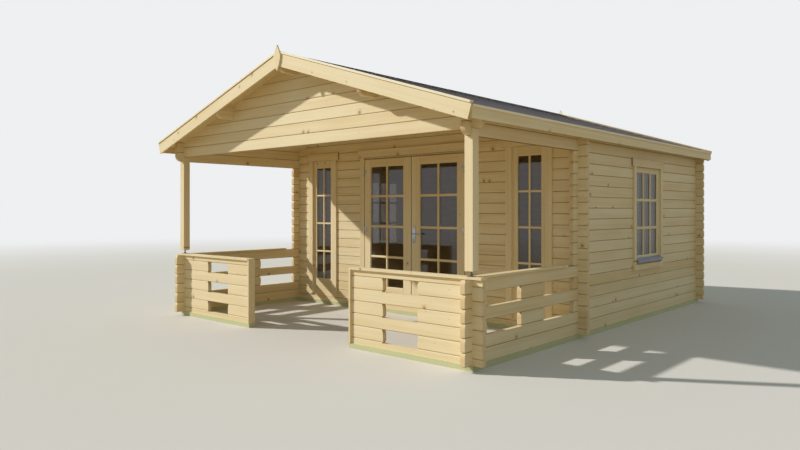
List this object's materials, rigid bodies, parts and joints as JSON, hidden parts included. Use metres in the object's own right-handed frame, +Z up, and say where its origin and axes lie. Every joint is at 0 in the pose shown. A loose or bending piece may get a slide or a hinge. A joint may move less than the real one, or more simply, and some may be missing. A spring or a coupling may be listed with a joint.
{
  "type": "log cabin",
  "caption": "Log cabin with a railed front porch under its gable roof, glazed double doors with side lights, and a window in each side.",
  "frame": {"origin": "centre of the bounding box on the ground", "axes": "+X to the right seen from the porch, +Y from the porch to the back, +Z up"},
  "size_m": [4.66, 5.75, 2.9021],
  "materials": {
    "spruce": "planed spruce logs and boards, bare, with small knots",
    "impregnated_timber": "pale green pressure-treated bearers",
    "floor_boards": "planed tongued floor boards",
    "roof_boards": "planed tongued roof boards",
    "roof_shingles": "slate-grey mineral-faced bitumen shingles",
    "window_glass": "clear glass",
    "handle_metal": "satin grey metal",
    "hinge_steel": "zinc-plated steel",
    "sill_metal": "grey-blue coated weather bar"
  },
  "bodies": {
    "root": {"back_wall": "spruce", "barge_boards": "spruce", "base_beams": "impregnated_timber", "door_frame": "spruce", "door_hinges": "hinge_steel", "fascias": "spruce", "finials": "spruce", "left_front_panel": "spruce", "left_roof_boards": "roof_boards", "left_roof_covering": "roof_shingles", "left_sidelight_frame": "spruce", "left_wall_front_logs": "spruce", "left_wall_lower": "spruce", "left_wall_rear_logs": "spruce", "left_wall_upper": "spruce", "left_window_frame": "spruce", "porch_gable": "spruce", "porch_posts": "spruce", "post_feet": "hinge_steel", "purlins": "spruce", "rail_caps": "spruce", "rail_end_boards": "spruce", "right_front_panel": "spruce", "right_roof_boards": "roof_boards", "right_roof_covering": "roof_shingles", "right_sidelight_frame": "spruce", "right_wall_front_logs": "spruce", "right_wall_lower": "spruce", "right_wall_rear_logs": "spruce", "right_wall_upper": "spruce", "right_window_frame": "spruce", "room_floor": "floor_boards", "room_front_gable": "spruce", "room_front_left_corner": "spruce", "room_front_left_pier": "spruce", "room_front_right_corner": "spruce", "room_front_right_pier": "spruce", "room_front_sill_log": "spruce", "sidelight_glass": "window_glass", "window_glass": "window_glass", "window_sills": "sill_metal"},
    "left_leaf": {"left_door_leaf": "spruce", "left_door_glass": "window_glass"},
    "right_leaf": {"right_door_leaf": "spruce", "right_door_glass": "window_glass", "door_handle": "handle_metal"}
  },
  "joints": [
    {"name": "left_door_hinge", "type": "hinge", "parent": "root", "child": "left_leaf", "pos_m": [-0.794, -0.859, 0], "axis": [0, 0, -1], "range_deg": [0, 105]},
    {"name": "right_door_hinge", "type": "hinge", "parent": "root", "child": "right_leaf", "pos_m": [0.794, -0.859, 0], "axis": [0, 0, 1], "range_deg": [0, 105]}
  ]
}
